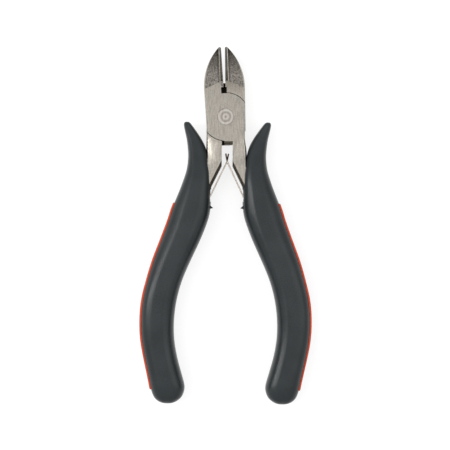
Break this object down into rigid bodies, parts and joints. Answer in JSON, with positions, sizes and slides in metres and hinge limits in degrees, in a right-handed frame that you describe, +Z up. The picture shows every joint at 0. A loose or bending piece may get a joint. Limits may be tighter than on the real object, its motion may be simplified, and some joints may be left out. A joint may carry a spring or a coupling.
{
  "type": "diagonal cutting pliers",
  "caption": "Small side cutting pliers with a round lap joint, interlocked leaf springs and swept soft grips with finger guards and let-in strips.",
  "frame": {"origin": "on the table under the middle of the whole tool, which lies on the flat backs of its grips", "axes": "+Y along the tool from the handle ends to the jaw tips, +X across the handles, +Z up out of the joint's front face"},
  "size_m": [0.0556, 0.115, 0.0106],
  "materials": {
    "ground_steel": "surface ground lengthwise, satin",
    "rivet_steel": "ground flush, satin",
    "spring_steel": "rolled strip, semi-bright",
    "grip_soft": "soft-touch moulded, satin",
    "inlay_red": "moulded, satin"
  },
  "bodies": {
    "front_half": {"front_half": "ground_steel", "pivot_rivet": "rivet_steel", "right_grip": "grip_soft", "right_grip_inlay": "inlay_red", "right_spring_rivet": "rivet_steel"},
    "rear_half": {"rear_half": "ground_steel", "left_grip": "grip_soft", "left_grip_inlay": "inlay_red", "left_spring_rivet": "rivet_steel"},
    "left_spring": {"left_leaf_spring": "spring_steel"},
    "right_spring": {"right_leaf_spring": "spring_steel"}
  },
  "joints": [
    {"name": "pivot", "type": "hinge", "parent": "front_half", "child": "rear_half", "pos_m": [-0.0006, 0.03475, 0.00525], "axis": [0, 0, 1], "range_deg": [-5, 3], "stiffness_Nm_per_rad": 1.5},
    {"name": "left_spring_flex", "type": "hinge", "parent": "rear_half", "child": "left_spring", "pos_m": [-0.00798, 0.00375, 0.00525], "axis": [0, 0, 1], "range_deg": [-2.3, 1.7]},
    {"name": "right_spring_flex", "type": "hinge", "parent": "front_half", "child": "right_spring", "pos_m": [0.00798, 0.00375, 0.00525], "axis": [0, 0, -1], "range_deg": [-2.3, 1.7]}
  ],
  "couplings": [
    {"joint": "left_spring_flex", "follows": "pivot", "ratio": 0.42},
    {"joint": "right_spring_flex", "follows": "pivot", "ratio": 0.42}
  ]
}
